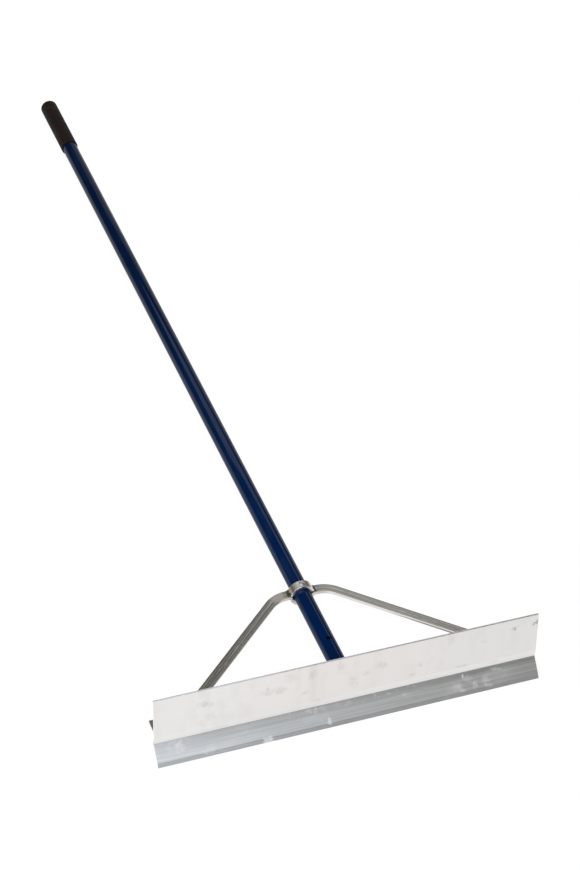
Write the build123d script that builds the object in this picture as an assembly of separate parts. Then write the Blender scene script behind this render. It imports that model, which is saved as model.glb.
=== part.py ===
from build123d import *
import math
import os

# A long-handled concrete scraper lying on the floor on its scraping edge and its grip.
# Millimetres. X runs along the blade, Y along the handle towards the grip, Z is up.
# The origin is the middle of the scraping edge.

# Blade: one extruded section with a tall board, a slanted scraper and a rear flange
blade_length = 609.6
wall = 3.2
scraper_reach = 35.4
scraper_slope = 45.0
bevel_width = 6.4
edge_land = 1.6
board_height = 79.4
board_lean = 9.7
belly_height = 18.0
crease_recess = 2.8
flange_reach = 25.3
flange_above_axis = 1.0
root_fillet = 3.0
heel_fillet = 2.0
corner_round = 0.8

# Handle: a round tube with a slotted lower end, a cross hole and a dipped grip
tube_diameter = 27.3
tube_wall = 2.0
axis_above_crease = 22.0
handle_end = 1619.4
cross_hole_at = 94.4
cross_hole_diameter = 6.4
slot_clearance = 0.15
end_clearance = 0.7
grip_length = 151.0
grip_wall = 2.2
grip_end_wall = 5.0
grip_end_round = 6.0
grip_rim_chamfer = 1.0

# Brace and clamp: flat bar that runs under the tube and down to the flange
bar_width = 14.0
bar_thickness = 6.0
brace_at = 208.2
brace_corner = 42.1
arm_angle = 41.5
arm_above_axis = 2.4
edge_bend_radius = 45.0
saddle_bend_radius = 4.0
weld_height = 3.0
weld_toe = 1.0
weld_hollow = 0.35
rivet_diameter = 4.8
rivet_head_diameter = 9.6
rivet_head_height = 1.6
rivet_tail_diameter = 7.6
rivet_tail_height = 3.0

# Fasteners: quarter-inch hexagon bolts with washers and lock nuts
bolts_at = 16.0
bolt_diameter = 6.35
hex_across_flats = 11.1
bolt_head_height = 4.2
bolt_tip_beyond_nut = 1.5
washer_diameter = 15.9
washer_thickness = 1.6
nut_height = 5.6
nut_collar_height = 2.2
nut_collar_diameter = 10.4
insert_diameter = 8.6

# Fits
hole_clearance = 0.25
snug_clearance = 0.05
clamp_clearance = 0.2

# Places that follow from the sizes above
tube_radius = tube_diameter / 2
grip_radius = tube_radius + grip_wall
bolt_radius = bolt_diameter / 2
bolt_hole_radius = bolt_radius + hole_clearance
slope = math.radians(scraper_slope)
lean = math.radians(board_lean)
down_plate = Vector(-math.cos(slope), -math.sin(slope))
behind_plate = Vector(math.sin(slope), -math.cos(slope))
up_board = Vector(math.sin(lean), math.cos(lean))
behind_board = Vector(math.cos(lean), -math.sin(lean))
crease = -wall * behind_plate - scraper_reach * down_plate
axis_z = crease.Y + axis_above_crease
bolt_y = crease.X + bolts_at
brace_y = crease.X + brace_at
flange_tip_y = crease.X + flange_reach
flange_top_z = axis_z + flange_above_axis + wall / 2
flange_bottom_z = flange_top_z - wall
grip_tip_y = crease.X + handle_end
grip_rim_y = grip_tip_y - grip_length
rest_angle = math.atan2(axis_z - grip_radius, grip_tip_y - grip_end_round)


def along_handle(radius, start_y, end_y):
    """A round bar on the handle's axis between two places on Y."""
    bar = extrude(Circle(radius), end_y - start_y)
    return Pos(0, start_y, axis_z) * Rot(-90, 0, 0) * bar


def upright(radius, x, y, bottom_z, top_z):
    """A round bar that stands along Z."""
    return Pos(x, y, bottom_z) * extrude(Circle(radius), top_z - bottom_z)


def arc_about(centre, start, end):
    """The short arc from start to end about a centre."""
    half_way = (start - centre) + (end - centre)
    return ThreePointArc(start, centre + half_way.normalized() * (start - centre).length, end)


def dome(edge_radius, base, height):
    """The outline of a round cap, from its edge to its top on the axis."""
    cap_radius = (edge_radius**2 + height**2) / (2 * height)
    centre = Vector(0, base + height - cap_radius)
    return arc_about(centre, Vector(edge_radius, base), Vector(0, base + height))


def corner_near(shape, point):
    """The corner of a section that lies nearest a point."""
    return shape.vertices().sort_by_distance(point)[0]


# Blade extrusion: board, scraper and flange drawn as one section in Y and Z
belly = crease + Vector(belly_height * math.tan(lean) - crease_recess, belly_height)
to_crease = crease - belly
belly_radius = to_crease.dot(to_crease) / (2 * to_crease.dot(behind_board))
belly_centre = belly + belly_radius * behind_board
board_top = belly + up_board * ((board_height - belly_height) / math.cos(lean))
crease_back = crease + wall * (belly_centre - crease).normalized()
belly_back = belly + wall * behind_board
top_back = board_top + wall * behind_board


def board_back(z):
    """The place of the board's straight back at a height."""
    return belly_back + up_board * ((z - belly_back.Y) / up_board.Y)


def blade_section():
    board = make_face(
        arc_about(belly_centre, crease, belly)
        + Polyline(belly, board_top, top_back, belly_back)
        + arc_about(belly_centre, belly_back, crease_back)
        + Line(crease_back, crease)
    )
    bevel_start = crease + (scraper_reach - bevel_width) * down_plate
    land_front = -edge_land * behind_plate
    heel = crease + wall * behind_plate
    heel = heel - down_plate * ((crease_back.X - heel.X) / -down_plate.X)
    scraper = make_face(
        Polyline(crease, bevel_start, land_front, Vector(0, 0), heel, crease_back, close=True)
    )
    flange_root = board_back(flange_bottom_z).X - wall / 2
    flange = make_face(
        Polyline(
            (flange_root, flange_bottom_z),
            (flange_tip_y, flange_bottom_z),
            (flange_tip_y, flange_top_z),
            (flange_root, flange_top_z),
            close=True,
        )
    )
    section = board + scraper + flange
    rounds = [
        (board_back(flange_bottom_z), root_fillet),
        (board_back(flange_top_z), root_fillet),
        (heel, heel_fillet),
        (crease, corner_round),
        (board_top, corner_round),
        (top_back, corner_round),
        (Vector(flange_tip_y, flange_bottom_z), corner_round),
        (Vector(flange_tip_y, flange_top_z), corner_round),
    ]
    for point, radius in rounds:
        section = fillet(corner_near(section, point), radius)
    return section


def blade_extrusion():
    blade = extrude(Plane.YZ * blade_section(), blade_length / 2, both=True)
    for x in (-foot_x, 0, foot_x):
        blade -= upright(bolt_hole_radius, x, bolt_y, flange_bottom_z - wall, flange_top_z + wall)
    return blade


# Handle tube: its slotted end straddles the flange, and one bolt passes through both
tube_start_y = board_back(axis_z + tube_radius).X + end_clearance
tube_end_y = grip_tip_y - grip_end_wall


def handle_tube():
    tube = along_handle(tube_radius, tube_start_y, tube_end_y)
    tube -= along_handle(tube_radius - tube_wall, tube_start_y, tube_end_y)
    slot_depth = flange_tip_y + end_clearance - tube_start_y
    slot_height = wall + 2 * slot_clearance
    slot = Box(tube_diameter, 2 * slot_depth, slot_height)
    tube -= Pos(0, tube_start_y, axis_z + flange_above_axis) * slot
    below = axis_z - tube_diameter
    above = axis_z + tube_diameter
    tube -= upright(bolt_hole_radius, 0, bolt_y, below, above)
    tube -= upright(cross_hole_diameter / 2, 0, crease.X + cross_hole_at, below, above)
    return tube - clamp_place * rivet_hole()


# Handle grip: soft sleeve with a closed, well-rounded end
def handle_grip():
    grip = along_handle(grip_radius, grip_rim_y, grip_tip_y)
    grip = fillet(grip.edges().sort_by(Axis.Y)[-1], grip_end_round)
    grip = chamfer(grip.edges().sort_by(Axis.Y)[0], grip_rim_chamfer)
    return grip - along_handle(tube_radius + snug_clearance, grip_rim_y, tube_end_y)


# Clamp frame: Y and Z about the handle's axis at the clamp, leaning so the arms meet the flange
clamp_drop = axis_z + arm_above_axis - flange_bottom_z
clamp_lean = math.atan2(clamp_drop, brace_y - flange_tip_y)
clamp_place = Pos(0, brace_y, axis_z) * Rot(math.degrees(clamp_lean), 0, 0)
clamp_inner = tube_radius + clamp_clearance
clamp_outer = clamp_inner + bar_thickness
foot_reach = (brace_y - bolt_y) / math.cos(clamp_lean)
foot_x = brace_corner + foot_reach / math.tan(math.radians(arm_angle))


def across(section):
    """A section in X and Z run through the width of the bar."""
    return Rot(90, 0, 0) * extrude(section, bar_width / 2, both=True)


def rivet_hole():
    """The hole for the rivet through the strap and the tube's upper wall."""
    return upright(rivet_diameter / 2 + snug_clearance, 0, 0, 0, 2 * clamp_outer)


# Bow brace: saddle under the tube, two arms bent on edge, rounded feet under the flange
bend_centre_z = arm_above_axis - bar_thickness - saddle_bend_radius
bend_centre_x = math.sqrt((clamp_outer + saddle_bend_radius) ** 2 - bend_centre_z**2)
to_bend = Vector(bend_centre_x, bend_centre_z).normalized()


def brace_arm():
    """The right arm drawn in plan, from the saddle's bend to the foot."""
    bend_start = brace_corner - edge_bend_radius * math.tan(math.radians(arm_angle / 2))
    foot = Pos(foot_x, -foot_reach)
    route = Line((bend_centre_x, 0), (bend_start, 0))
    route += JernArc(route @ 1, (1, 0), edge_bend_radius, -arm_angle)
    route += Line(route @ 1, (foot_x, -foot_reach))
    plan = trace(route, bar_width) + foot * Circle(bar_width / 2)
    plan -= foot * Circle(bolt_hole_radius)
    return Pos(0, 0, arm_above_axis - bar_thickness) * extrude(plan, bar_thickness)


def brace_saddle():
    """The bar bent down at each side and round under the tube."""
    bend_centre = Vector(bend_centre_x, bend_centre_z)
    hug_start = clamp_inner * to_bend
    hug_end = clamp_outer * to_bend
    bend_top = bend_centre + Vector(0, saddle_bend_radius + bar_thickness)
    bend_under = bend_centre + Vector(0, saddle_bend_radius)
    hug_middle = (to_bend + Vector(0, -1)).normalized()
    half = make_face(
        ThreePointArc((0, -clamp_inner), clamp_inner * hug_middle, hug_start)
        + arc_about(bend_centre, hug_start, bend_top)
        + Line(bend_top, bend_under)
        + arc_about(bend_centre, bend_under, hug_end)
        + ThreePointArc(hug_end, clamp_outer * hug_middle, (0, -clamp_outer))
        + Line((0, -clamp_outer), (0, -clamp_inner))
    )
    return across(half + mirror(half, Plane.YZ))


def bow_brace():
    arm = brace_arm()
    return clamp_place * (arm + brace_saddle() + mirror(arm, Plane.YZ))


# Clamp strap: the same bar bent over the tube, its ends standing on the arms
def clamp_strap():
    crown = Circle(clamp_outer) - Circle(clamp_inner)
    crown &= Pos(0, arm_above_axis + clamp_outer) * Rectangle(2 * clamp_outer, 2 * clamp_outer)
    return clamp_place * (across(crown) - rivet_hole())


def on_strap(z):
    """The place on the strap's outer face at a height above the handle's axis."""
    return Vector(math.sqrt(clamp_outer**2 - z**2), z)


def right_strap_weld():
    """A hollow-faced bead of weld in the corner outside the strap's right end."""
    root = on_strap(arm_above_axis)
    crest = on_strap(arm_above_axis + weld_height)
    toe = Vector(bend_centre_x + weld_toe, arm_above_axis)
    face_middle = (toe + crest) * 0.5 - Vector(weld_hollow, weld_hollow)
    bead = make_face(
        arc_about(Vector(0, 0), crest, root)
        + Line(root, toe)
        + ThreePointArc(toe, face_middle, crest)
    )
    return clamp_place * across(bead)


# Clamp rivet: domed blind rivet through the strap's crown and the tube's upper wall
def clamp_rivet():
    shank = rivet_diameter / 2
    tail = rivet_tail_diameter / 2
    tail_top = math.sqrt((tube_radius - tube_wall) ** 2 - tail**2) - snug_clearance
    outline = make_face(
        Polyline(
            (0, clamp_outer + rivet_head_height),
            (0, tail_top - rivet_tail_height),
            (tail, tail_top - rivet_tail_height),
            (tail, tail_top),
            (shank, tail_top),
            (shank, clamp_outer),
            (rivet_head_diameter / 2, clamp_outer),
        )
        + dome(rivet_head_diameter / 2, clamp_outer, rivet_head_height)
    )
    return clamp_place * revolve(Plane.XZ * outline, Axis.Z)


# Bolts, washers and lock nuts
def hexagon(height):
    """A hexagon with its outer corners turned off at the upper end."""
    prism = extrude(RegularPolygon(hex_across_flats / 2, 6, major_radius=False), height)
    cone = Cone(hex_across_flats / 2 + 2 * height, hex_across_flats / 2, 2 * height)
    return prism & cone


def hex_bolt(x, seat_z, grip):
    """A bolt with its head on a seat, long enough for what it grips and its nut."""
    length = grip + nut_height + nut_collar_height + bolt_tip_beyond_nut
    head = Pos(x, bolt_y, seat_z) * hexagon(bolt_head_height)
    return head + upright(bolt_radius, x, bolt_y, seat_z - length, seat_z)


def washer(x, bottom_z):
    ring = upright(washer_diameter / 2, x, bolt_y, bottom_z, bottom_z + washer_thickness)
    return ring - upright(bolt_hole_radius, x, bolt_y, bottom_z, bottom_z + washer_thickness)


def lock_nut(x, top_z):
    """A nut under a seat, with a round collar below it that holds the insert."""
    body = Pos(x, bolt_y, top_z) * (Rot(180, 0, 0) * hexagon(nut_height))
    collar_bottom = top_z - nut_height - nut_collar_height
    body += upright(nut_collar_diameter / 2, x, bolt_y, collar_bottom, top_z - nut_height)
    body -= upright(insert_diameter / 2, x, bolt_y, collar_bottom, top_z - nut_height)
    return body - upright(bolt_radius + snug_clearance, x, bolt_y, collar_bottom, top_z)


def nut_insert(x, top_z):
    """The soft ring in a lock nut's collar."""
    low = top_z - nut_height - nut_collar_height
    high = top_z - nut_height
    ring = upright(insert_diameter / 2 - snug_clearance, x, bolt_y, low, high)
    return ring - upright(bolt_radius + snug_clearance, x, bolt_y, low, high)


tube_top_z = axis_z + tube_radius
handle_nut_z = axis_z - tube_radius - washer_thickness
handle_stack = tube_diameter + washer_thickness
foot_bottom_z = (clamp_place * Pos(0, -foot_reach, arm_above_axis - bar_thickness)).position.Z
brace_nut_z = foot_bottom_z - math.tan(clamp_lean) * washer_diameter / 2 - washer_thickness
brace_stack = flange_top_z - brace_nut_z
feet = (-foot_x, foot_x)
nuts = [(0, handle_nut_z), (-foot_x, brace_nut_z), (foot_x, brace_nut_z)]

pieces = {
    "blade_extrusion": blade_extrusion(),
    "handle_tube": handle_tube(),
    "handle_grip": handle_grip(),
    "bow_brace": bow_brace(),
    "clamp_strap": clamp_strap(),
    "left_strap_weld": mirror(right_strap_weld(), Plane.YZ),
    "right_strap_weld": right_strap_weld(),
    "clamp_rivet": clamp_rivet(),
    "handle_bolt": hex_bolt(0, tube_top_z, handle_stack),
    "brace_bolts": Compound([hex_bolt(x, flange_top_z, brace_stack) for x in feet]),
    "bolt_washers": Compound([washer(x, z) for x, z in nuts]),
    "lock_nuts": Compound([lock_nut(x, z) for x, z in nuts]),
    "lock_nut_inserts": Compound([nut_insert(x, z) for x, z in nuts]),
}

# The tool is laid down so that the grip's underside meets the floor as well
lay_down = Rot(-math.degrees(rest_angle), 0, 0)
os.makedirs("parts", exist_ok=True)
for name, piece in pieces.items():
    export_step(lay_down * piece, f"parts/{name}.step")
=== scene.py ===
import bmesh
import bpy
from mathutils import Matrix, Vector


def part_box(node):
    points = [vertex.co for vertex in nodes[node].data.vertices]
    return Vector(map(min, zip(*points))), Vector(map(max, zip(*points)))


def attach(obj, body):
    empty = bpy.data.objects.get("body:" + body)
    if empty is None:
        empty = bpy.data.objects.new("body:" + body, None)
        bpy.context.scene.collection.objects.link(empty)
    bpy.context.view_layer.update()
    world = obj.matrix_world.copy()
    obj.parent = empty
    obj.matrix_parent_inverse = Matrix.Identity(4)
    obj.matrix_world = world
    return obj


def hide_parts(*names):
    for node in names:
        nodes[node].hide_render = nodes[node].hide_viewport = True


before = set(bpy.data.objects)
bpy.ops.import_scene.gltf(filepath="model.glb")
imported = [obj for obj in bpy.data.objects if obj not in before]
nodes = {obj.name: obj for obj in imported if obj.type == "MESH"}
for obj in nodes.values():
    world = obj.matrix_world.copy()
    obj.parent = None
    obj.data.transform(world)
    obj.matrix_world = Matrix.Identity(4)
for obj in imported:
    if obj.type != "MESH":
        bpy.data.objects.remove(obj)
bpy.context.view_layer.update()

# Blade: one aluminium extrusion, a tall leaning board with a slanted scraper below and a flange behind.
# Mill finish with die lines along its length, a ground bevel, sawn ends, hand marks and dried cement dust.
# The handle and the brace are bolted to its flange.
blade_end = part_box("blade_extrusion")[1][0]
board_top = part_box("blade_extrusion")[1][2]
board_back = (0.0, 0.98205, -0.1886)
flange_start = 0.0195
flange_blur = 0.001
scraper_up = (0.0, 0.7214, 0.6925)
lip_tilt = (0.0, -2.9, 0.6)
scraper_reach = 0.0354
scraper_blur = 0.0002
bevel_width = 0.0064
bevel_blur = 0.0003

# Narrow bands in the blade's section: how far each reaches from its middle, and how far it is full.
bevel_line_band = (0.0013, 0.0004)
lip_band = (0.0075, 0.0030)
lip_rise = 0.0030
crease_band = (0.0007, 0.0001)
crease_drop = 0.0003
crease_shade_depth = 0.022
crease_shade_rise = 0.002
top_edge_band = (0.004, 0.002)
end_shade_band = (0.020, 0.006)

# Slow changes along the blade: from one place across it to another, and the strength at each.
crease_shade_at_left = (-blade_end, -0.20, 0.4, 1.0)
crease_shade_at_right = (0.0, 0.15, 1.06, 0.98)
top_edge_fade = (0.15, -0.25, 0.1, 1.0)
bevel_fade = (-0.25, 0.10, 0.10, 0.62)
right_shade_fade = (-0.15, blade_end, 0.0, 0.45)
warm_band = (0.24, 0.04)
wiped_middle = -0.03
wiped_band = (0.11, 0.03)
fleck_reach = (0.16, 0.05)

# Colours of the board and of what is on it, then of the scraper and its dust, with painted shade, a painted
# highlight and a painted reflection tint among them.
board_pale = (0.895, 0.886, 0.879)
board_warm = (0.882, 0.848, 0.831)
board_lined = (0.79, 0.770, 0.762)
board_right_shade = (0.70, 0.685, 0.675)
wiped_film = (0.58, 0.53, 0.48)
cloudy_film = (0.62, 0.57, 0.53)
hand_grease = (0.50, 0.45, 0.40)
black_rub = (0.17, 0.165, 0.15)
left_bright = (0.870, 0.898, 0.926)
right_bright = (0.880, 0.880, 0.870)
left_haired = (0.672, 0.700, 0.733)
right_haired = (0.677, 0.677, 0.668)
scraper_lined = (0.64, 0.65, 0.67)
left_crease_shade = (0.46, 0.47, 0.49)
right_crease_shade = (0.43, 0.42, 0.41)
bevel_line_grey = (0.46, 0.48, 0.52)
left_bevel = (0.52, 0.53, 0.56)
right_bevel = (0.49, 0.485, 0.48)
cement_white = (0.93, 0.95, 0.98)
lip_highlight = (0.97, 0.955, 0.93)
crease_line_shade = (0.30, 0.29, 0.27)
flange_end_shade = (0.20, 0.19, 0.165)
sawn_bright = (0.94, 0.935, 0.92)
sawn_flange_dark = (0.13, 0.125, 0.10)

# Each mark on the front: its place across and up the blade, its width and height, and its strength.
hand_marks = [
    (-0.2290, 0.0805, 0.011, 0.008, 0.55),
    (-0.2180, 0.0765, 0.006, 0.005, 0.40),
    (-0.2190, 0.0563, 0.014, 0.010, 0.25),
    (-0.1300, 0.0764, 0.015, 0.009, 0.45),
    (-0.1120, 0.0750, 0.012, 0.008, 0.50),
    (-0.0724, 0.0589, 0.006, 0.005, 0.45),
    (-0.0612, 0.0880, 0.008, 0.014, 0.45),
    (-0.0941, 0.0930, 0.014, 0.012, 0.25),
    (-0.0171, 0.0900, 0.008, 0.014, 0.30),
    (0.0044, 0.0600, 0.012, 0.018, 0.28),
    (0.0250, 0.0695, 0.010, 0.008, 0.42),
    (0.0486, 0.0770, 0.014, 0.009, 0.45),
    (0.1122, 0.0630, 0.007, 0.006, 0.50),
    (0.0999, 0.0473, 0.009, 0.004, 0.42),
    (-0.0508, 0.0385, 0.008, 0.005, 0.50),
    (-0.0815, 0.0357, 0.006, 0.004, 0.50),
    (0.1609, 0.0930, 0.008, 0.014, 0.28),
    (0.1838, 0.0415, 0.016, 0.004, 0.65),
    (0.2320, 0.0350, 0.014, 0.004, 0.75),
    (0.2163, 0.0779, 0.008, 0.005, 0.25),
]
dark_marks = [
    (0.2654, 0.0893, 0.007, 0.006, 0.75),
    (0.2985, 0.0905, 0.008, 0.004, 0.90),
    (0.3035, 0.0915, 0.005, 0.007, 1.00),
]
dust_marks = [
    (-0.2716, 0.0185, 0.018, 0.012, 0.80),
    (-0.2272, 0.0082, 0.016, 0.005, 0.70),
    (-0.1345, 0.0030, 0.0085, 0.0065, 1.80),
    (-0.1370, 0.0040, 0.0090, 0.0060, 1.80),
    (-0.0377, 0.0095, 0.0040, 0.0046, 2.40),
    (-0.0660, 0.0246, 0.007, 0.0025, 0.60),
    (-0.0551, 0.0239, 0.007, 0.0025, 0.70),
    (-0.0408, 0.0238, 0.008, 0.0025, 0.65),
    (-0.0216, 0.0240, 0.009, 0.003, 0.45),
    (-0.0040, 0.0225, 0.010, 0.004, 0.45),
    (-0.0620, 0.0148, 0.032, 0.006, 0.30),
    (0.0632, 0.0226, 0.006, 0.002, 0.50),
    (0.0862, 0.0180, 0.005, 0.003, 0.70),
    (0.1831, 0.0224, 0.003, 0.003, 1.60),
    (0.1680, 0.0125, 0.014, 0.006, 0.72),
    (0.1790, 0.0085, 0.011, 0.004, 0.80),
    (0.1900, 0.0190, 0.010, 0.005, 0.50),
    (0.2000, 0.0118, 0.006, 0.006, 0.66),
    (0.2180, 0.0140, 0.012, 0.008, 0.60),
    (0.2230, 0.0075, 0.008, 0.003, 0.60),
    (0.2391, 0.0226, 0.014, 0.003, 0.60),
    (0.2480, 0.0145, 0.026, 0.010, 0.24),
    (0.2550, 0.0190, 0.010, 0.003, 0.30),
]


def feed(tree, socket, value):
    """Links a socket to an input, or sets the input to a plain value."""
    if isinstance(value, bpy.types.NodeSocket):
        tree.links.new(value, socket)
    else:
        socket.default_value = value


def add(tree, kind, inputs=None, **settings):
    """A shader node with its settings and its inputs."""
    made = tree.nodes.new("ShaderNode" + kind)
    for name, value in settings.items():
        setattr(made, name, value)
    for name, value in (inputs or {}).items():
        feed(tree, made.inputs[name], value)
    return made


def maths(tree, operation, a, b=0.0):
    """The result of one sum on two values or sockets."""
    return add(tree, "Math", {0: a, 1: b}, operation=operation).outputs[0]


def times(tree, *values):
    """All the values multiplied together."""
    total = values[0]
    for value in values[1:]:
        total = maths(tree, "MULTIPLY", total, value)
    return total


def most(tree, *values):
    """The largest of the values."""
    total = values[0]
    for value in values[1:]:
        total = maths(tree, "MAXIMUM", total, value)
    return total


def size_of(tree, value):
    """A value without its sign."""
    return maths(tree, "ABSOLUTE", value)


def vectors(tree, operation, a, b):
    """The result of one sum on two vectors."""
    return add(tree, "VectorMath", {0: a, 1: b}, operation=operation).outputs[0]


def along(tree, vector, direction):
    """How far a point lies along a direction."""
    return add(tree, "VectorMath", {0: vector, 1: direction}, operation="DOT_PRODUCT").outputs["Value"]


def length_of(tree, vector):
    """How long a vector is."""
    return add(tree, "VectorMath", {0: vector}, operation="LENGTH").outputs["Value"]


def parts_of(tree, vector):
    """A vector's X, Y and Z."""
    return add(tree, "SeparateXYZ", {0: vector}).outputs


def way_it_faces(tree):
    """X, Y and Z of the way that the surface faces."""
    return parts_of(tree, add(tree, "NewGeometry").outputs["Normal"])


def ramp(tree, value, low, high, bottom=0.0, top=1.0):
    """A value smoothly carried from one range to another."""
    made = add(
        tree,
        "MapRange",
        {"Value": value, "From Min": low, "From Max": high, "To Min": bottom, "To Max": top},
        interpolation_type="SMOOTHSTEP",
    )
    return made.outputs["Result"]


def band(tree, value, middle, reach, full):
    """A stripe about a middle value: 1 where it is full, fading to 0 at its reach."""
    return ramp(tree, size_of(tree, maths(tree, "SUBTRACT", value, middle)), reach, full)


def blend(tree, mask, first, second):
    """One colour where the mask is 0 and the other where it is 1."""
    made = add(tree, "Mix", data_type="RGBA")
    factor = made.inputs[0]
    feed(tree, factor, mask)
    for socket, colour in ((made.inputs[6], first), (made.inputs[7], second)):
        is_plain = isinstance(colour, tuple)
        feed(tree, socket, (*colour, 1.0) if is_plain else colour)
    return made.outputs[2]


def layered(tree, colour, *layers):
    """A colour with marks laid over it in turn, each given by its mask, its strength and its colour."""
    for mask, strength, mark in layers:
        colour = blend(tree, times(tree, mask, strength), colour, mark)
    return colour


def noise(tree, vector, scale, detail=3.0, rough=0.5):
    """Soft irregular values about one half."""
    made = add(tree, "TexNoise", {"Vector": vector, "Scale": scale, "Detail": detail, "Roughness": rough})
    return made.outputs["Fac"]


def stretched(tree, vector, stretch):
    """Coordinates drawn out, so that a pattern becomes lines."""
    return add(tree, "Mapping", {"Vector": vector, "Scale": stretch}).outputs[0]


def new_group(name, inputs, outputs):
    """An empty node group with named inputs and outputs."""
    tree = bpy.data.node_groups.new(name, "ShaderNodeTree")
    for socket, kind in inputs:
        tree.interface.new_socket(socket, in_out="INPUT", socket_type="NodeSocket" + kind)
    for socket, kind in outputs:
        tree.interface.new_socket(socket, in_out="OUTPUT", socket_type="NodeSocket" + kind)
    return tree, tree.nodes.new("NodeGroupInput").outputs, tree.nodes.new("NodeGroupOutput").inputs


def metal_lines_group():
    """Lines left by a die or a drawing bench along X: bands, hair lines and a height for a bump."""
    band_stretch = (1.5, 130.0, 130.0)
    hair_stretch = (5.0, 620.0, 620.0)
    band_height = 0.25
    tree, given, out = new_group(
        "metal_lines",
        [("Vector", "Vector")],
        [("Bands", "Float"), ("Hairs", "Float"), ("Height", "Float")],
    )
    bands = noise(tree, stretched(tree, given["Vector"], band_stretch), 1.0, 4.0, 0.6)
    hairs = noise(tree, stretched(tree, given["Vector"], hair_stretch), 1.0, 3.0, 0.6)
    tree.links.new(ramp(tree, bands, 0.3, 0.7), out["Bands"])
    tree.links.new(ramp(tree, hairs, 0.3, 0.7), out["Hairs"])
    tree.links.new(maths(tree, "ADD", hairs, times(tree, bands, band_height)), out["Height"])
    return tree


def smears_group():
    """Irregular patches left by hands and by dust: broad clouds broken up by finer ones."""
    broad_share = 0.35
    fine_share = 1.6
    tree, given, out = new_group("smears", [("Vector", "Vector"), ("Size", "Float")], [("Mask", "Float")])
    scale = maths(tree, "DIVIDE", 1.0, given["Size"])
    broad = noise(tree, given["Vector"], times(tree, scale, broad_share), 2.0)
    fine = noise(tree, given["Vector"], times(tree, scale, fine_share), 5.0, 0.6)
    both = times(tree, ramp(tree, broad, 0.42, 0.68), ramp(tree, fine, 0.42, 0.66))
    tree.links.new(both, out["Mask"])
    return tree


def dab_group():
    """One ragged smudge about a middle, worn thin in places."""
    ragged_scale = 130.0
    ragged_reach = (2.2, 0.0, 2.2)
    worn_scale = 420.0
    thinnest = 0.35
    tree, given, out = new_group(
        "dab",
        [("Vector", "Vector"), ("Middle", "Vector"), ("Size", "Vector")],
        [("Mask", "Float")],
    )
    from_middle = vectors(tree, "SUBTRACT", given["Vector"], given["Middle"])
    from_middle = vectors(tree, "DIVIDE", from_middle, given["Size"])
    ragged = add(tree, "TexNoise", {"Vector": given["Vector"], "Scale": ragged_scale, "Detail": 3.0})
    ragged = vectors(tree, "SUBTRACT", ragged.outputs["Color"], (0.5, 0.5, 0.5))
    ragged = vectors(tree, "MULTIPLY", ragged, ragged_reach)
    distance = length_of(tree, vectors(tree, "ADD", from_middle, ragged))
    worn = ramp(tree, noise(tree, given["Vector"], worn_scale, 4.0), 0.35, 0.65, thinnest, 1.0)
    tree.links.new(times(tree, ramp(tree, distance, 1.0, 0.15), worn), out["Mask"])
    return tree


def put(tree, group, **inputs):
    """A node group placed in a material."""
    made = add(tree, "Group")
    made.node_tree = group
    for name, value in inputs.items():
        feed(tree, made.inputs[name], value)
    return made.outputs


def new_material(name):
    """A material with its tree, its surface shader and its object coordinates."""
    made = bpy.data.materials.new(name)
    made.use_nodes = True
    tree = made.node_tree
    place = tree.nodes.new("ShaderNodeTexCoord").outputs["Object"]
    return made, tree, tree.nodes["Principled BSDF"], place


def finish(tree, surface, colour, roughness, height, strength, depth, normal=None):
    """Joins a colour, a roughness and a bump to a surface, the bump on a given normal if there is one."""
    tree.links.new(colour, surface.inputs["Base Color"])
    tree.links.new(roughness, surface.inputs["Roughness"])
    bump = add(tree, "Bump", {"Height": height, "Strength": strength, "Distance": depth})
    if normal:
        tree.links.new(normal, bump.inputs["Normal"])
    tree.links.new(bump.outputs[0], surface.inputs["Normal"])


def dress(material, *names):
    """Puts a material on CAD pieces."""
    for name in names:
        nodes[name].material_slots[0].material = material


def marks_at(tree, place, marks):
    """Smudges at given places across and up the blade."""
    masks = []
    for across, up, wide, tall, strength in marks:
        mask = put(tree, dab, Vector=place, Middle=(across, 0.0, up), Size=(wide, 1.0, tall))["Mask"]
        masks.append(times(tree, mask, strength))
    return most(tree, *masks)


metal_lines = metal_lines_group()
smears = smears_group()
dab = dab_group()

mill_aluminium, tree, surface, place = new_material("mill_aluminium")
lines = put(tree, metal_lines, Vector=place)
facing = way_it_faces(tree)
here = parts_of(tree, place)
across = here["X"]
up_scraper = along(tree, place, scraper_up)
behind = along(tree, place, board_back)

# Where each stretch of the blade is.
to_right = ramp(tree, across, -blade_end, blade_end)
on_front = ramp(tree, facing["Y"], -0.2, -0.5)
# Sawn end faces: paler, and darker where they cut the flange.
sawn = ramp(tree, size_of(tree, facing["X"]), 0.7, 0.95)
on_scraper = ramp(tree, up_scraper, scraper_reach + scraper_blur, scraper_reach - scraper_blur)
on_bevel = ramp(tree, up_scraper, bevel_width + bevel_blur, bevel_width - bevel_blur)
bevel_top = band(tree, up_scraper, bevel_width, *bevel_line_band)
# Painted shade on the scraper just under the crease, weaker toward the left end.
under_crease_shade = times(
    tree,
    on_scraper,
    ramp(tree, up_scraper, scraper_reach - crease_shade_depth, scraper_reach + crease_shade_rise),
    ramp(tree, across, *crease_shade_at_left),
    ramp(tree, across, *crease_shade_at_right),
)
above_crease = maths(tree, "SUBTRACT", 1.0, on_scraper)
on_lip = times(tree, on_front, above_crease, band(tree, up_scraper, scraper_reach + lip_rise, *lip_band))
# A thin line of painted shade in the crease itself.
in_crease = times(tree, on_front, band(tree, up_scraper, scraper_reach - crease_drop, *crease_band))
on_top = times(
    tree,
    ramp(tree, facing["Z"], 0.80, 0.95),
    ramp(tree, here["Z"], board_top - top_edge_band[0], board_top - top_edge_band[1]),
    ramp(tree, across, *top_edge_fade),
)
on_flange = ramp(tree, behind, flange_start - flange_blur, flange_start + flange_blur)
# Painted shade on the flange near the blade's ends.
near_end = ramp(tree, size_of(tree, across), blade_end - end_shade_band[0], blade_end - end_shade_band[1])
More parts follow.
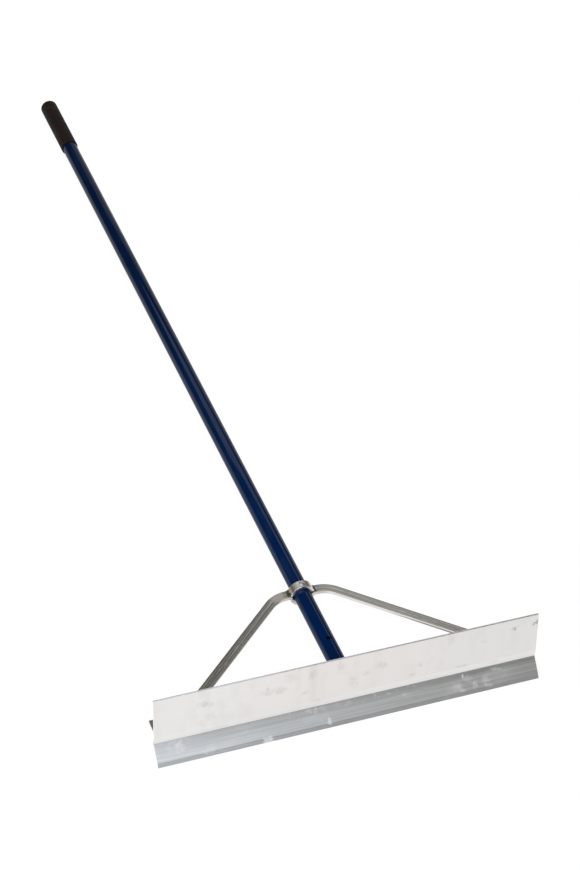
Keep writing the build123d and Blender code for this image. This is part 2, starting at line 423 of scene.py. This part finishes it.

# What has been left on it, and the painted highlight on the lip.
clouds = put(tree, smears, Vector=stretched(tree, place, (1.0, 0.5, 0.5)), Size=0.030)["Mask"]
powder = put(tree, smears, Vector=stretched(tree, place, (0.7, 1.0, 1.0)), Size=0.020)["Mask"]
handled = times(tree, marks_at(tree, place, hand_marks), on_front)
darkened = times(tree, marks_at(tree, place, dark_marks), on_front)
dusty = times(tree, marks_at(tree, place, dust_marks), on_front, on_scraper)
wiped = ramp(tree, noise(tree, stretched(tree, place, (45.0, 1.0, 7.0)), 1.0, 4.0), 0.48, 0.70)
wiped = times(tree, wiped, band(tree, across, wiped_middle, *wiped_band))
flecks = ramp(tree, noise(tree, place, 260.0, 2.0), 0.60, 0.70)
flecks = times(tree, flecks, on_front, under_crease_shade, band(tree, across, 0.0, *fleck_reach))
# Cement dust, its specks, a paler top edge and the lip's painted highlight, all of which also make the
# surface rougher and less metallic.
dust_and_highlight = most(tree, dusty, flecks, times(tree, on_lip, 0.3), times(tree, on_top, 0.7))

# The board's colour, darkened toward its right end as painted shade.
board_colour = layered(
    tree,
    blend(tree, band(tree, across, 0.0, *warm_band), board_pale, board_warm),
    (lines["Bands"], 0.05, board_lined),
    (ramp(tree, across, *right_shade_fade), 1.0, board_right_shade),
    (wiped, 0.16, wiped_film),
    (clouds, 0.14, cloudy_film),
    (handled, 0.85, hand_grease),
    (darkened, 0.85, black_rub),
)
# The scraper's colours run from bluish at the left end to warm grey at the right as a painted reflection
# tint.
scraper_colour = layered(
    tree,
    blend(tree, to_right, left_bright, right_bright),
    (lines["Hairs"], 1.0, blend(tree, to_right, left_haired, right_haired)),
    (lines["Bands"], 0.26, scraper_lined),
    (under_crease_shade, 0.55, blend(tree, to_right, left_crease_shade, right_crease_shade)),
    (bevel_top, 0.35, bevel_line_grey),
    (on_bevel, ramp(tree, across, *bevel_fade), blend(tree, to_right, left_bevel, right_bevel)),
)
colour = layered(
    tree,
    blend(tree, on_scraper, board_colour, scraper_colour),
    (dust_and_highlight, 0.85, cement_white),
    (times(tree, powder, on_scraper), 0.15, cement_white),
    (on_lip, 0.5, lip_highlight),
    (in_crease, 0.55, crease_line_shade),
    (times(tree, on_flange, near_end), 0.75, flange_end_shade),
    (sawn, 0.9, sawn_bright),
    (times(tree, sawn, on_flange), 0.9, sawn_flange_dark),
)
worn = maths(tree, "ADD", times(tree, lines["Bands"], on_scraper), times(tree, clouds, 0.3))
roughness = ramp(tree, maths(tree, "ADD", worn, dust_and_highlight), 0.0, 1.5, 0.42, 0.58)
relief = times(tree, lines["Height"], on_scraper)

# The foot of the curve is shaded as if it faced the way the flat board does; the photo shows it as bright.
lip_normal = vectors(tree, "MULTIPLY", on_lip, lip_tilt)
lip_normal = vectors(tree, "ADD", add(tree, "NewGeometry").outputs["Normal"], lip_normal)
lip_normal = add(tree, "VectorMath", {0: lip_normal}, operation="NORMALIZE").outputs[0]
finish(tree, surface, colour, roughness, relief, strength=0.12, depth=0.0003, normal=lip_normal)
tree.links.new(maths(tree, "SUBTRACT", 1.0, times(tree, dust_and_highlight, 0.6)), surface.inputs["Metallic"])
dress(mill_aluminium, "blade_extrusion")

# Handle tube: a straight round tube, coated glossy navy, with an open cross hole above the blade.
# Its slotted end straddles the blade's flange and one bolt holds it there.
navy_deep = (0.0002, 0.0165, 0.083)
navy_dull = (0.0005, 0.0097, 0.042)
scuff_blue = (0.10, 0.13, 0.20)
dulling_from, dulling_to = 0.1, 1.5
cloudiness = 0.8
coat_whole, coat_scuffed = 0.45, 0.30
navy_coating, tree, surface, place = new_material("navy_coating")
cloud = noise(tree, place, 18.0, 4.0)
orange_peel = noise(tree, place, 700.0, 2.0)
scuffs = put(tree, smears, Vector=stretched(tree, place, (1.0, 0.2, 1.0)), Size=0.012)["Mask"]
dulled = ramp(tree, parts_of(tree, place)["Y"], dulling_from, dulling_to)
dulled = maths(tree, "ADD", dulled, times(tree, maths(tree, "SUBTRACT", cloud, 0.5), cloudiness))
colour = layered(tree, navy_deep, (dulled, 1.0, navy_dull), (scuffs, 0.06, scuff_blue))
roughness = ramp(tree, scuffs, 0.0, 1.0, 0.40, 0.55)
finish(tree, surface, colour, roughness, orange_peel, strength=0.03, depth=0.0002)
tree.links.new(ramp(tree, scuffs, 0.0, 1.0, coat_whole, coat_scuffed), surface.inputs["Coat Weight"])
surface.inputs["Coat Roughness"].default_value = 0.06
surface.inputs["Specular IOR Level"].default_value = 0.0
dress(navy_coating, "handle_tube")

# Handle grip: a brown-black sleeve of soft vinyl with a closed, rounded end, pushed over the tube.
# Its skin is matt and finely stippled, with a few paler rubs.
vinyl_dark = (0.0097, 0.0059, 0.0040)
vinyl_light = (0.0160, 0.0105, 0.0075)
vinyl_rubbed = (0.034, 0.029, 0.025)
grip_vinyl, tree, surface, place = new_material("grip_vinyl")
stipple = noise(tree, place, 1100.0, 2.0)
rubs = put(tree, smears, Vector=place, Size=0.018)["Mask"]
colour = layered(tree, vinyl_dark, (stipple, 1.0, vinyl_light), (rubs, 0.25, vinyl_rubbed))
roughness = ramp(tree, rubs, 0.0, 1.0, 0.74, 0.60)
finish(tree, surface, colour, roughness, stipple, strength=0.40, depth=0.0004)
surface.inputs["Specular IOR Level"].default_value = 0.16
dress(grip_vinyl, "handle_grip")

# Bow brace: one drawn aluminium flat bar, bent round under the tube and on edge at each shoulder.
# Its edges are rounded, drawing lines follow it round its bends, and its feet are bolted under the flange.
shoulder_centre = (0.02505, 0.18700)
shoulder_radius = 0.045
shoulder_turn = 0.7243
bar_edge = 0.00025
bar_thickness = 0.006
arm_top = 0.0479
arm_fall = 0.0040
tube_axis = (0.0, 0.0, 0.0446)

# Marks and painted shade on the bar: stripes by their distance from its middle, and how they change from arm
# to arm.
edge_start, edge_full = 0.0058, 0.0069
rolled_line_place = 0.0031
rolled_line_band = (0.0013, 0.0003)
scratched_band = (0.0050, 0.0015)
inner_edge_start, inner_edge_full = 0.002, 0.0045
side_shade_depth = 0.70 * bar_thickness
side_shade_band = (0.38 * bar_thickness, 0.08 * bar_thickness)
side_shade_fade = (0.165, 0.115, 0.10, 0.90)
streak_fade = (0.03, 0.09, 0.90, 0.62)
bend_heading = -0.33
bend_band = (0.32, 0.12)
gap_shadow_reach, gap_shadow_full = 0.0175, 0.0160
gap_shadow_low, gap_shadow_high = 0.036, 0.041
side_blur = 0.02

# Colours of the bar and of what is on it, with painted reflection, shade and shadow among them.
bar_pale = (0.79, 0.765, 0.722)
bar_lined = (0.67, 0.648, 0.608)
streak_brown = (0.35, 0.312, 0.263)
grime_brown = (0.42, 0.37, 0.30)
edge_shade_brown = (0.30, 0.26, 0.21)
rolled_grey = (0.27, 0.25, 0.22)
right_side_reflection = (0.94, 0.93, 0.915)
side_shade_grey = (0.22, 0.20, 0.18)
left_side_shade = (0.19, 0.175, 0.155)
bend_pale = (0.95, 0.88, 0.79)
gap_shadow_black = (0.012, 0.011, 0.010)
scratch_bright = (0.86, 0.86, 0.85)


def rounded_copy(name, width, segments):
    """A copy of a CAD piece with its sharp edges rounded."""
    same_point = 0.000002
    flat_angle = 0.02
    sharp_angle = 0.9
    shape = bmesh.new()
    shape.from_mesh(nodes[name].data)
    bmesh.ops.remove_doubles(shape, verts=shape.verts, dist=same_point)
    bmesh.ops.dissolve_limit(shape, angle_limit=flat_angle, verts=shape.verts, edges=shape.edges)
    sharp = [edge for edge in shape.edges if edge.calc_face_angle(0.0) > sharp_angle]
    bmesh.ops.bevel(
        shape,
        geom=sharp,
        offset=width,
        offset_type="OFFSET",
        affect="EDGES",
        segments=segments,
        profile=0.5,
        material=-1,
    )
    for face in shape.faces:
        face.smooth = True
    mesh = bpy.data.meshes.new(name + "_rounded")
    shape.to_mesh(mesh)
    shape.free()
    piece = bpy.data.objects.new(name + "_rounded", mesh)
    bpy.context.scene.collection.objects.link(piece)
    piece.modifiers.new("even_normals", "WEIGHTED_NORMAL").keep_sharp = True
    return piece


def along_bar(tree, place):
    """Coordinates that run along the bent bar, and the bar's direction."""
    here = parts_of(tree, place)
    out_x = maths(tree, "SUBTRACT", size_of(tree, here["X"]), shoulder_centre[0])
    out_y = maths(tree, "SUBTRACT", here["Y"], shoulder_centre[1])
    turn = maths(tree, "ARCTAN2", out_x, out_y)
    turn = add(tree, "Clamp", {"Value": turn, "Min": 0.0, "Max": shoulder_turn}).outputs[0]
    sine = maths(tree, "SINE", turn)
    cosine = maths(tree, "COSINE", turn)
    across = maths(tree, "ADD", times(tree, out_x, sine), times(tree, out_y, cosine))
    forward = maths(tree, "SUBTRACT", times(tree, out_x, cosine), times(tree, out_y, sine))
    run = maths(tree, "ADD", forward, times(tree, turn, shoulder_radius))
    heading_x = times(tree, maths(tree, "SIGN", here["X"]), cosine)
    heading = add(tree, "CombineXYZ", {"X": heading_x, "Y": times(tree, sine, -1.0)})
    joined = add(tree, "CombineXYZ", {"X": run, "Y": across, "Z": here["Z"]})
    return joined.outputs[0], heading.outputs[0]


def by_side(tree, sideways, on_right, on_left):
    """One strength on the right arm and another on the left."""
    return ramp(tree, sideways, side_blur, -side_blur, on_right, on_left)


def from_tube_axis(tree, place):
    """How far a point lies from the tube's axis where the clamp holds it."""
    away = vectors(tree, "SUBTRACT", place, tube_axis)
    return length_of(tree, vectors(tree, "MULTIPLY", away, (1.0, 0.0, 1.0)))


bow_brace = rounded_copy("bow_brace", bar_edge, segments=2)
bar_aluminium, tree, surface, place = new_material("bar_aluminium")
bar_place, bar_heading = along_bar(tree, place)
lines = put(tree, metal_lines, Vector=bar_place)
facing = way_it_faces(tree)
here = parts_of(tree, place)
sideways = here["X"]
across_bar = parts_of(tree, bar_place)["Y"]
from_middle = size_of(tree, maths(tree, "SUBTRACT", across_bar, shoulder_radius))
upward = ramp(tree, facing["Z"], 0.5, 0.8)
on_side = ramp(tree, size_of(tree, facing["Z"]), 0.6, 0.3)

# Lines that drawing and rolling have left along it, and painted shade along its top edges and low on its
# sides.
# Painted shade along the edges of the top face, stronger on the left arm.
at_edge = times(tree, ramp(tree, from_middle, edge_start, edge_full), upward)
at_edge = times(tree, at_edge, by_side(tree, sideways, 0.32, 0.5))
rolled_line = times(tree, band(tree, from_middle, rolled_line_place, *rolled_line_band), upward)
rolled_line = times(tree, rolled_line, by_side(tree, sideways, 0.25, 1.0))
streaks = noise(tree, stretched(tree, bar_place, (5.0, 520.0, 520.0)), 1.0, 2.0)
inner_edge = ramp(tree, across_bar, shoulder_radius - inner_edge_start, shoulder_radius - inner_edge_full)
streaks = times(tree, ramp(tree, streaks, 0.44, 0.56), ramp(tree, inner_edge, 0.0, 1.0, 1.0, 0.45))
streaks = times(tree, streaks, ramp(tree, sideways, *streak_fade))
# A line of painted shade low on each side face, strongest toward the blade.
top_here = maths(tree, "SUBTRACT", arm_top, times(tree, here["Y"], arm_fall))
below_top = maths(tree, "SUBTRACT", top_here, here["Z"])
side_shade = times(tree, on_side, band(tree, below_top, side_shade_depth, *side_shade_band))
side_shade = times(tree, side_shade, ramp(tree, here["Y"], *side_shade_fade))

# Grime and scratches from handling, a paler bend, painted reflection and shade on the arms' inner sides, and
# painted shadow beside the tube.
grime = put(tree, smears, Vector=stretched(tree, bar_place, (0.4, 1.0, 1.0)), Size=0.016)["Mask"]
scratches = noise(tree, stretched(tree, bar_place, (60.0, 800.0, 800.0)), 1.0, 2.0)
scratches = times(tree, ramp(tree, scratches, 0.57, 0.65), ramp(tree, from_middle, *scratched_band))
scratches = times(tree, scratches, ramp(tree, noise(tree, bar_place, 28.0, 2.0), 0.42, 0.58))
# Painted reflection makes the right arm's inner side pale; painted shade makes the left arm's inner side
# dark.
right_inside = times(tree, on_side, ramp(tree, facing["X"], -0.2, -0.5), ramp(tree, sideways, 0.02, 0.04))
left_inside = times(tree, on_side, ramp(tree, facing["X"], 0.2, 0.5), ramp(tree, sideways, -0.02, -0.04))
# The bar is paler on top partway round each shoulder's bend, most on the left arm.
pale_bend = band(tree, parts_of(tree, bar_heading)["Y"], bend_heading, *bend_band)
pale_bend = times(tree, pale_bend, upward, by_side(tree, sideways, 0.08, 0.85))
# Painted shadow: black on the saddle's front face in the gap left of the tube.
gap_shadow = ramp(tree, from_tube_axis(tree, place), gap_shadow_reach, gap_shadow_full)
gap_shadow = times(tree, ramp(tree, facing["Y"], -0.4, -0.7), gap_shadow)
gap_shadow = times(tree, gap_shadow, ramp(tree, here["Z"], gap_shadow_low, gap_shadow_high))
gap_shadow = times(tree, gap_shadow, ramp(tree, sideways, 0.0, -0.006))

colour = layered(
    tree,
    bar_pale,
    (lines["Bands"], 1.0, bar_lined),
    (streaks, 1.0, streak_brown),
    (grime, 0.4, grime_brown),
    (at_edge, 1.0, edge_shade_brown),
    (rolled_line, 0.45, rolled_grey),
    (right_inside, 0.7, right_side_reflection),
    (side_shade, 1.0, side_shade_grey),
    (left_inside, 0.9, left_side_shade),
    (pale_bend, 1.0, bend_pale),
    (gap_shadow, 0.97, gap_shadow_black),
    (scratches, 1.0, scratch_bright),
)
roughness = ramp(tree, lines["Bands"], 0.0, 1.0, 0.38, 0.50)
finish(tree, surface, colour, roughness, lines["Height"], strength=0.12, depth=0.0003)
tree.links.new(bar_heading, surface.inputs["Tangent"])
tree.links.new(ramp(tree, scratches, 0.0, 1.0, 1.0, 0.7), surface.inputs["Metallic"])
surface.inputs["Anisotropic"].default_value = 0.5
surface.inputs["Anisotropic Rotation"].default_value = 0.25
bow_brace.data.materials.append(bar_aluminium)
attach(bow_brace, "root")
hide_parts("bow_brace")

# Clamp strap: the same bar bent over the tube with well-rounded edges, its ends welded on the brace's arms.
# Its drawing lines run round it and grime lies on it in patches; it is browner down its right flank, with
# painted shade on its left end and inside its rim, and painted shadow under its right end.
strap_edge = 0.0007
left_end_start, left_end_full = -0.0120, -0.0160
right_flank_rise = (0.0005, 0.0040)
right_flank_fall = (0.0145, 0.0115)
rim_reach, rim_full = 0.0180, 0.0160
rim_fade = (-0.001, 0.005, 0.30, 0.65)
under_end_top, under_end_low = 0.0515, 0.0495
under_end_side = (0.008, 0.012)
strap_pale = (0.88, 0.855, 0.81)
strap_lined = (0.76, 0.735, 0.69)
strap_grime = (0.36, 0.32, 0.26)
left_end_shade = (0.25, 0.22, 0.17)
right_flank_brown = (0.36, 0.31, 0.255)
rim_shade_black = (0.06, 0.055, 0.05)
under_end_shadow = (0.035, 0.035, 0.035)
clamp_strap = rounded_copy("clamp_strap", strap_edge, segments=3)
strap_aluminium, tree, surface, place = new_material("strap_aluminium")
lines = put(tree, metal_lines, Vector=stretched(tree, place, (1.0, 1.0, 0.02)))
grime = put(tree, smears, Vector=place, Size=0.007)["Mask"]
facing = way_it_faces(tree)
here = parts_of(tree, place)
sideways = here["X"]
# Painted shade at the left end and inside the rim, painted shadow under the right end, and a browner right
# flank.
outer_face = ramp(tree, facing["Y"], -0.8, -0.4)
left_end = ramp(tree, sideways, left_end_start, left_end_full)
right_flank = times(tree, ramp(tree, sideways, *right_flank_rise), ramp(tree, sideways, *right_flank_fall))
inner_rim = ramp(tree, from_tube_axis(tree, place), rim_reach, rim_full)
inner_rim = times(tree, ramp(tree, facing["Y"], -0.5, -0.8), inner_rim)
rim_shade_strength = most(tree, ramp(tree, sideways, *rim_fade), times(tree, left_end, 0.95))
under_end = ramp(tree, here["Z"], under_end_top, under_end_low)
under_end = times(tree, ramp(tree, facing["Y"], -0.4, -0.7), under_end)
under_end = times(tree, under_end, ramp(tree, sideways, *under_end_side))
colour = layered(
    tree,
    strap_pale,
    (lines["Bands"], 1.0, strap_lined),
    (grime, 0.65, strap_grime),
    (times(tree, left_end, outer_face), 0.8, left_end_shade),
    (times(tree, right_flank, outer_face), 0.85, right_flank_brown),
    (inner_rim, rim_shade_strength, rim_shade_black),
    (under_end, 0.9, under_end_shadow),
)
roughness = ramp(tree, grime, 0.0, 1.0, 0.34, 0.5)
finish(tree, surface, colour, roughness, lines["Height"], strength=0.15, depth=0.0003)
round_tube = vectors(tree, "SUBTRACT", place, tube_axis)
round_tube = vectors(tree, "CROSS_PRODUCT", round_tube, (0.0, 1.0, 0.0))
tree.links.new(round_tube, surface.inputs["Tangent"])
surface.inputs["Metallic"].default_value = 1.0
surface.inputs["Anisotropic"].default_value = 0.55
surface.inputs["Anisotropic Rotation"].default_value = 0.25
clamp_strap.data.materials.append(strap_aluminium)
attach(clamp_strap, "root")
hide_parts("clamp_strap")

# Strap welds: a short aluminium bead in the corner outside each end of the strap, dull and sooty.
# The bead's ripples run across it, and the left one holds more soot.
weld_dark = (0.20, 0.19, 0.175)
weld_light = (0.34, 0.33, 0.31)
soot_black = (0.07, 0.063, 0.055)
soot_by_side = (-0.005, 0.005, 1.0, 0.5)
ripple_waves = {"Scale": 150.0, "Distortion": 4.0, "Detail": 2.0, "Detail Scale": 1.5}
weld_bead, tree, surface, place = new_material("weld_bead")
ripple = add(tree, "TexWave", {"Vector": place, **ripple_waves}, bands_direction="Y").outputs["Fac"]
soot = noise(tree, place, 260.0, 4.0)
sooty = times(tree, ramp(tree, soot, 0.35, 0.55), ramp(tree, parts_of(tree, place)["X"], *soot_by_side))
colour = layered(tree, weld_dark, (ripple, 1.0, weld_light), (sooty, 1.0, soot_black))
roughness = ramp(tree, soot, 0.3, 0.7, 0.45, 0.7)
finish(tree, surface, colour, roughness, ripple, strength=0.45, depth=0.0005)
surface.inputs["Metallic"].default_value = 1.0
dress(weld_bead, "left_strap_weld", "right_strap_weld")

# Clamp rivet: a domed aluminium blind rivet through the strap's crown and the tube's upper wall.
# Its head is bright, with small duller dents from setting.
rivet_shine = (0.80, 0.84, 0.88)
rivet_dent = (0.46, 0.505, 0.54)
rivet_bright, tree, surface, place = new_material("rivet_bright")
dents = noise(tree, place, 500.0, 3.0)
colour = blend(tree, ramp(tree, dents, 0.35, 0.6), rivet_shine, rivet_dent)
roughness = ramp(tree, dents, 0.3, 0.7, 0.38, 0.52)
finish(tree, surface, colour, roughness, dents, strength=0.15, depth=0.0003)
surface.inputs["Metallic"].default_value = 1.0
dress(rivet_bright, "clamp_rivet")

# Bolts, washers and lock nuts: quarter-inch steel, bright zinc, behind the blade and under the flange.
# Their zinc is slightly mottled, with fine turning marks.
zinc_bright = (0.66, 0.67, 0.68)
zinc_mottled = (0.52, 0.53, 0.52)
zinc_turned = (0.42, 0.42, 0.40)
bright_zinc, tree, surface, place = new_material("bright_zinc")
mottle = noise(tree, place, 320.0, 4.0)
turning = noise(tree, stretched(tree, place, (60.0, 60.0, 2500.0)), 1.0, 2.0)
mottled = ramp(tree, mottle, 0.35, 0.65)
colour = layered(tree, zinc_bright, (mottled, 1.0, zinc_mottled), (turning, 0.3, zinc_turned))
roughness = ramp(tree, mottle, 0.3, 0.7, 0.26, 0.42)
finish(tree, surface, colour, roughness, turning, strength=0.1, depth=0.0002)
surface.inputs["Metallic"].default_value = 1.0
dress(bright_zinc, "handle_bolt", "brace_bolts", "bolt_washers", "lock_nuts")

# Lock nut inserts: soft nylon rings in the nuts' collars, milky and a little greasy.
# They are pressed in, and the bolts' threads cut into them.
nylon_light = (0.72, 0.72, 0.66)
nylon_dark = (0.60, 0.59, 0.53)
insert_nylon, tree, surface, place = new_material("insert_nylon")
milky = noise(tree, place, 400.0, 3.0)
colour = blend(tree, milky, nylon_light, nylon_dark)
roughness = ramp(tree, milky, 0.3, 0.7, 0.38, 0.55)
finish(tree, surface, colour, roughness, milky, strength=0.1, depth=0.0002)
dress(insert_nylon, "lock_nut_inserts")

# Floor: a plain white sweep of paper that the tool lies on, its shadow kept faint.
# Seen straight or in the metal it is white, and fully so away from the tool.
floor_size = 60.0
paper_dark = (0.86, 0.86, 0.86)
paper_light = (0.88, 0.88, 0.88)
shadow_grey = (0.16, 0.16, 0.16, 1.0)
white = (1.0, 1.0, 1.0, 1.0)
white_by_tool = 0.92
white_added_away = 0.08
away_from, away_to = 1.5, 4.0
bpy.ops.mesh.primitive_plane_add(size=floor_size, location=(0.0, 0.0, 0.0))
floor = bpy.context.object
floor.name = "floor"
white_floor = bpy.data.materials.new("white_floor")
white_floor.use_nodes = True
tree = white_floor.node_tree
tree.nodes.clear()
place = tree.nodes.new("ShaderNodeTexCoord").outputs["Object"]
path = tree.nodes.new("ShaderNodeLightPath").outputs
paper = blend(tree, noise(tree, place, 40.0, 2.0), paper_dark, paper_light)
plain = add(tree, "BsdfDiffuse", {"Color": paper})
shade = add(tree, "BsdfDiffuse", {"Color": shadow_grey})
away = ramp(tree, length_of(tree, place), away_from, away_to)
whiteness = maths(tree, "ADD", times(tree, away, path["Is Camera Ray"], white_added_away), white_by_tool)
glow = add(tree, "Emission", {"Color": white, "Strength": whiteness})
lit = add(tree, "AddShader", {0: shade.outputs[0], 1: glow.outputs[0]})
seen = most(tree, path["Is Glossy Ray"], path["Is Transmission Ray"], path["Is Camera Ray"])
mixed = add(tree, "MixShader", {0: seen, 1: plain.outputs[0], 2: lit.outputs[0]})
output = tree.nodes.new("ShaderNodeOutputMaterial")
tree.links.new(mixed.outputs[0], output.inputs["Surface"])
floor.data.materials.append(white_floor)

# Studio light: a large soft key above on the left, a wide pale card in front, dim cards behind the handle,
# and a dark room with a low white backdrop all round, which the camera sees as plain white.
room_dark = (0.058, 0.053, 0.047)
backdrop_white = (1.0, 1.0, 1.0)
backdrop_low, backdrop_high = 0.0, 0.03
room = bpy.data.worlds.new("dark_room")
bpy.context.scene.world = room
room.use_nodes = True
tree = room.node_tree
view_up = parts_of(tree, tree.nodes.new("ShaderNodeTexCoord").outputs["Generated"])["Z"]
path = tree.nodes.new("ShaderNodeLightPath").outputs
mirrored = most(tree, path["Is Glossy Ray"], path["Is Transmission Ray"])
mirrored = times(tree, mirrored, ramp(tree, view_up, backdrop_high, backdrop_low))
seen = most(tree, path["Is Camera Ray"], mirrored)
colour = blend(tree, seen, room_dark, backdrop_white)
tree.links.new(colour, tree.nodes["Background"].inputs["Color"])


def soft_box(name, place, aim, width, height, power, colour=(1.0, 1.0, 1.0), line=None):
    """A rectangular lamp that faces a point, its width along a given line where there is one."""
    lamp = bpy.data.lights.new(name, "AREA")
    lamp.shape = "RECTANGLE"
    lamp.size = width
    lamp.size_y = height
    lamp.energy = power
    lamp.color = colour
    made = bpy.data.objects.new(name, lamp)
    made.visible_camera = False
    bpy.context.scene.collection.objects.link(made)
    back = (Vector(place) - Vector(aim)).normalized()
    side = Vector(line) if line else Vector((0.0, 0.0, 1.0)).cross(back)
    side = (side - side.dot(back) * back).normalized()
    turned = Matrix((side, back.cross(side), back)).transposed().to_4x4()
    made.matrix_world = Matrix.Translation(place) @ turned


soft_box(
    "key_box",
    place=(-1.3, -0.3, 2.6),
    aim=(0.0, 0.4, 0.0),
    width=5.0,
    height=5.0,
    power=88.0,
)
soft_box(
    "front_card",
    place=(-0.75, -2.6, 2.0),
    aim=(0.0, 0.0, 0.0),
    width=3.0,
    height=2.0,
    power=27.0,
    colour=(0.95, 0.98, 1.0),
)
soft_box(
    "back_card",
    place=(0.45, 1.57, 1.0),
    aim=(0.45, 1.57, 0.0),
    width=1.84,
    height=0.67,
    power=4.6,
    colour=(0.92, 0.96, 1.0),
    line=(0.93, -0.37, 0.0),
)
soft_box(
    "far_card",
    place=(1.3, 2.1, 0.35),
    aim=(1.3, 0.0, 0.35),
    width=2.37,
    height=0.69,
    power=2.8,
)

# Camera: the photograph's place and angle, fitted to the blade, the tube and the grip.
# It stands high in front on the left, with a long lens.
camera_place = (-1.03632, -1.93309, 2.51962)
camera_right = (0.93373, -0.34922, 0.07869)
camera_up = (0.17993, 0.64789, 0.74017)
camera_back = (-0.30947, -0.67696, 0.66779)
sensor_height = 36.0
focal_length = 92.319
lens = bpy.data.cameras.new("camera")
lens.sensor_fit = "VERTICAL"
lens.sensor_height = sensor_height
lens.lens = focal_length
camera = bpy.data.objects.new("camera", lens)
bpy.context.scene.collection.objects.link(camera)
turned = Matrix((camera_right, camera_up, camera_back)).transposed().to_4x4()
camera.matrix_world = Matrix.Translation(camera_place) @ turned
bpy.context.scene.camera = camera
bpy.context.scene.view_settings.view_transform = "Standard"
